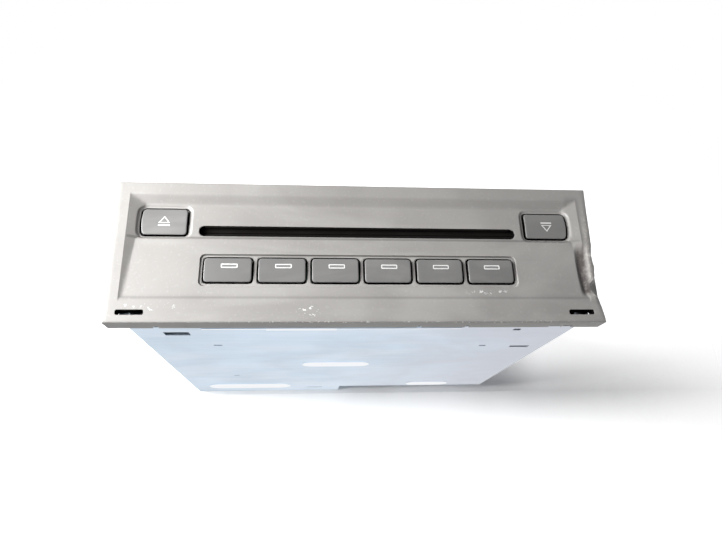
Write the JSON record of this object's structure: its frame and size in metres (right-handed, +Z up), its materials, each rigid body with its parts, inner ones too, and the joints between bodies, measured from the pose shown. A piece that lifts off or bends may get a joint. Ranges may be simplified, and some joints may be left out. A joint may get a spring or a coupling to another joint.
{
  "type": "car disc changer",
  "caption": "Single-DIN in-dash disc changer: plastic face with a disc slot and pressable keys on a stepped steel case that holds trays, lift, loader and playing deck.",
  "frame": {"origin": "centre of the seat: the flat rear rim of the bezel that bears on the dashboard", "axes": "+Y from the face to the rear, +X to the right as seen from the front, +Z up as installed"},
  "size_m": [0.188, 0.175, 0.057],
  "materials": {
    "bezel_plastic": "fine grained grey, satin",
    "key_plastic": "smooth dark grey, satin",
    "felt": "black pile",
    "board": "green solder mask",
    "black_plastic": "moulded black",
    "case_steel": "zinc plated sheet",
    "bright_steel": "bright",
    "frame_steel": "plated sheet",
    "spring_steel": "spring strip",
    "motor_can": "drawn can",
    "gear_plastic": "natural acetal",
    "brass": "bright",
    "rubber": "matt",
    "tray_plastic": "moulded",
    "flex": "amber film",
    "lens": "coated"
  },
  "bodies": {
    "housing": {"bezel": "bezel_plastic", "slot_felt": "felt", "front_board": "board", "tact_switches": "black_plastic", "front_screws": "bright_steel", "shutter_brackets": "frame_steel", "case_tray": "case_steel", "top_cover": "case_steel", "cover_screws": "bright_steel", "rear_panel": "case_steel", "main_board": "board", "board_screws": "bright_steel", "board_components": "black_plastic", "rear_connector": "black_plastic", "connector_pins": "brass", "front_flex": "flex", "mechanism_frame": "frame_steel", "dampers": "rubber", "upper_guide": "frame_steel", "loading_motor": "motor_can", "lift_motor": "motor_can", "deck_pivot": "bright_steel"},
    "eject_key": {"eject_key": "key_plastic"},
    "load_key": {"load_key": "key_plastic"},
    "disc_key_1": {"disc_key_1": "key_plastic"},
    "disc_key_2": {"disc_key_2": "key_plastic"},
    "disc_key_3": {"disc_key_3": "key_plastic"},
    "disc_key_4": {"disc_key_4": "key_plastic"},
    "disc_key_5": {"disc_key_5": "key_plastic"},
    "disc_key_6": {"disc_key_6": "key_plastic"},
    "shutter": {"slot_shutter": "black_plastic"},
    "roller": {"roller_shaft": "bright_steel", "roller_sleeves": "rubber", "roller_gear": "gear_plastic"},
    "idler": {"idler_gear": "gear_plastic"},
    "loading_pinion": {"loading_pinion": "brass"},
    "stocker": {"disc_tray_1": "tray_plastic", "disc_tray_2": "tray_plastic", "disc_tray_3": "tray_plastic", "disc_tray_4": "tray_plastic", "disc_tray_5": "tray_plastic", "disc_tray_6": "tray_plastic", "stocker_side_left": "frame_steel", "stocker_side_right": "frame_steel"},
    "cam_left": {"cam_plate_left": "frame_steel"},
    "cam_right": {"cam_plate_right": "frame_steel"},
    "cross_shaft": {"cross_shaft": "bright_steel", "cross_pinions": "gear_plastic", "lift_wheel": "gear_plastic"},
    "lift_pinion": {"lift_pinion": "brass"},
    "deck": {"deck_plate": "frame_steel", "spindle_motor": "motor_can", "guide_rods": "bright_steel", "sled_motor": "motor_can"},
    "turntable": {"turntable": "black_plastic"},
    "sled": {"pickup_sled": "black_plastic", "pickup_lens": "lens"},
    "lead_screw": {"lead_screw": "bright_steel"},
    "catch_left": {"release_spring_left": "spring_steel"},
    "catch_right": {"release_spring_right": "spring_steel"}
  },
  "joints": [
    {"name": "eject_key_press", "type": "slide", "parent": "housing", "child": "eject_key", "axis": [0, 1, 0], "range_m": [0, 0.0008], "stiffness_N_per_m": 1500},
    {"name": "load_key_press", "type": "slide", "parent": "housing", "child": "load_key", "axis": [0, 1, 0], "range_m": [0, 0.0008], "stiffness_N_per_m": 1500},
    {"name": "disc_key_1_press", "type": "slide", "parent": "housing", "child": "disc_key_1", "axis": [0, 1, 0], "range_m": [0, 0.0008], "stiffness_N_per_m": 1500},
    {"name": "disc_key_2_press", "type": "slide", "parent": "housing", "child": "disc_key_2", "axis": [0, 1, 0], "range_m": [0, 0.0008], "stiffness_N_per_m": 1500},
    {"name": "disc_key_3_press", "type": "slide", "parent": "housing", "child": "disc_key_3", "axis": [0, 1, 0], "range_m": [0, 0.0008], "stiffness_N_per_m": 1500},
    {"name": "disc_key_4_press", "type": "slide", "parent": "housing", "child": "disc_key_4", "axis": [0, 1, 0], "range_m": [0, 0.0008], "stiffness_N_per_m": 1500},
    {"name": "disc_key_5_press", "type": "slide", "parent": "housing", "child": "disc_key_5", "axis": [0, 1, 0], "range_m": [0, 0.0008], "stiffness_N_per_m": 1500},
    {"name": "disc_key_6_press", "type": "slide", "parent": "housing", "child": "disc_key_6", "axis": [0, 1, 0], "range_m": [0, 0.0008], "stiffness_N_per_m": 1500},
    {"name": "shutter_swing", "type": "hinge", "parent": "housing", "child": "shutter", "pos_m": [0, 0.0042, 0.0125], "axis": [1, 0, 0], "range_deg": [0, 70], "stiffness_Nm_per_rad": 0.002},
    {"name": "roller_spin", "type": "hinge", "parent": "housing", "child": "roller", "pos_m": [0, 0.0122, 0.00355], "axis": [1, 0, 0], "continuous": true},
    {"name": "idler_spin", "type": "hinge", "parent": "housing", "child": "idler", "pos_m": [0, 0.02153, -0.00578], "axis": [1, 0, 0], "continuous": true},
    {"name": "loading_pinion_spin", "type": "hinge", "parent": "housing", "child": "loading_pinion", "pos_m": [0, 0.0279, -0.01215], "axis": [1, 0, 0], "continuous": true},
    {"name": "stocker_lift", "type": "slide", "parent": "housing", "child": "stocker", "axis": [0, 0, 1], "range_m": [0, 0.012]},
    {"name": "cam_left_slide", "type": "slide", "parent": "housing", "child": "cam_left", "axis": [0, 1, 0], "range_m": [0, 0.01505]},
    {"name": "cam_right_slide", "type": "slide", "parent": "housing", "child": "cam_right", "axis": [0, 1, 0], "range_m": [0, 0.01505]},
    {"name": "cross_shaft_spin", "type": "hinge", "parent": "housing", "child": "cross_shaft", "pos_m": [0, 0.1312, -0.01], "axis": [1, 0, 0], "range_deg": [-154, 0]},
    {"name": "lift_pinion_spin", "type": "hinge", "parent": "housing", "child": "lift_pinion", "pos_m": [0, 0.1438, -0.01], "axis": [1, 0, 0], "range_deg": [0, 492]},
    {"name": "deck_tilt", "type": "hinge", "parent": "housing", "child": "deck", "pos_m": [0, 0.1202, -0.01195], "axis": [-1, 0, 0], "range_deg": [0, 2.4]},
    {"name": "turntable_spin", "type": "hinge", "parent": "deck", "child": "turntable", "pos_m": [0, 0.0782, 0], "axis": [0, 0, 1], "continuous": true},
    {"name": "sled_slide", "type": "slide", "parent": "deck", "child": "sled", "axis": [1, 0, 0], "range_m": [0, 0.028]},
    {"name": "lead_screw_spin", "type": "hinge", "parent": "deck", "child": "lead_screw", "pos_m": [0, 0.1052, -0.01215], "axis": [1, 0, 0], "range_deg": [0, 3362]},
    {"name": "catch_left_bend", "type": "hinge", "parent": "housing", "child": "catch_left", "pos_m": [-0.0872, 0.053, 0], "axis": [0, 0, 1], "range_deg": [0, 3.5], "stiffness_Nm_per_rad": 0.4},
    {"name": "catch_right_bend", "type": "hinge", "parent": "housing", "child": "catch_right", "pos_m": [0.0872, 0.053, 0], "axis": [0, 0, -1], "range_deg": [0, 3.5], "stiffness_Nm_per_rad": 0.4}
  ],
  "couplings": [
    {"joint": "idler_spin", "follows": "roller_spin", "ratio": -1.2},
    {"joint": "loading_pinion_spin", "follows": "roller_spin", "ratio": 2.4},
    {"joint": "cam_left_slide", "follows": "stocker_lift", "ratio": 1.25},
    {"joint": "cam_right_slide", "follows": "stocker_lift", "ratio": 1.25},
    {"joint": "cross_shaft_spin", "follows": "stocker_lift", "rad_per_m": -223.21},
    {"joint": "lift_pinion_spin", "follows": "stocker_lift", "rad_per_m": 714.29},
    {"joint": "lead_screw_spin", "follows": "sled_slide", "rad_per_m": 2094.4}
  ]
}
